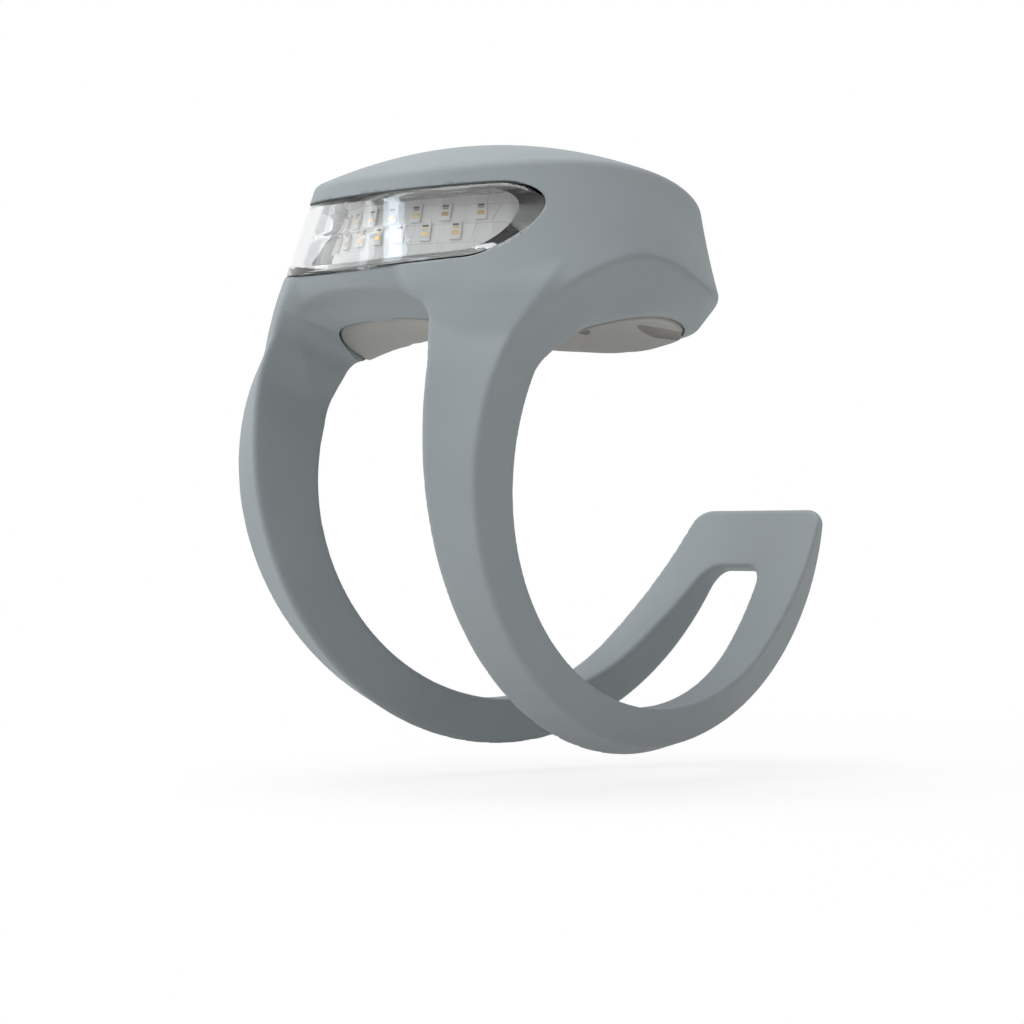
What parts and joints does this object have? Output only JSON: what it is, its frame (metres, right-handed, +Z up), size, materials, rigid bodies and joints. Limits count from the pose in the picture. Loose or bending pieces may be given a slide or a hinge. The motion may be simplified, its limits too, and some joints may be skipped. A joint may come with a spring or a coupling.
{
  "type": "bicycle tail light",
  "caption": "Strap-on bicycle tail light with a clear front window; its two silicone arms join in a hook that stretches round a tube.",
  "frame": {"origin": "axis of the relaxed strap loop, on the middle plane", "axes": "+X along the tube, -Y where the lens faces, +Z up through the lamp's head"},
  "size_m": [0.0324, 0.0425, 0.0435],
  "materials": {
    "grey_silicone": "matte",
    "clear_plastic": "clear",
    "black_plastic": "matte",
    "grey_plastic": "matte",
    "seal_rubber": "matte",
    "white_board": "satin",
    "led_body": "gloss",
    "green_board": "satin",
    "black_chip": "satin",
    "capacitor_ceramic": "satin",
    "ivory_plastic": "matte",
    "switch_steel": "satin",
    "red_plastic": "matte",
    "cell_steel": "satin",
    "gold_spring": "satin"
  },
  "bodies": {
    "light": {"silicone_sleeve": "grey_silicone", "lens": "clear_plastic", "housing": "black_plastic", "cover_seal": "seal_rubber", "led_board": "white_board", "board_carrier": "ivory_plastic", "upper_leds": "led_body", "lower_leds": "led_body", "led_resistors": "black_chip", "main_board": "green_board", "controller_chip": "black_chip", "capacitors": "capacitor_ceramic", "driver_transistors": "black_chip", "flex_connector": "ivory_plastic", "tact_switch": "switch_steel", "battery_tray": "black_plastic", "coin_cell": "cell_steel", "positive_contact": "gold_spring", "negative_contact": "gold_spring"},
    "cover": {"battery_cover": "grey_plastic"},
    "button": {"push_button": "black_plastic"},
    "stem": {"switch_stem": "red_plastic"}
  },
  "joints": [
    {"name": "button_press", "type": "slide", "parent": "light", "child": "button", "axis": [0, 0, -1], "range_m": [0, 0.00025], "stiffness_N_per_m": 1500},
    {"name": "switch_press", "type": "slide", "parent": "light", "child": "stem", "axis": [0, 0, -1], "range_m": [0, 0.00025]},
    {"name": "cover_release", "type": "slide", "parent": "light", "child": "cover", "axis": [0, 0, -1], "range_m": [0, 0.012]}
  ],
  "couplings": [
    {"joint": "switch_press", "follows": "button_press", "ratio": 1}
  ]
}
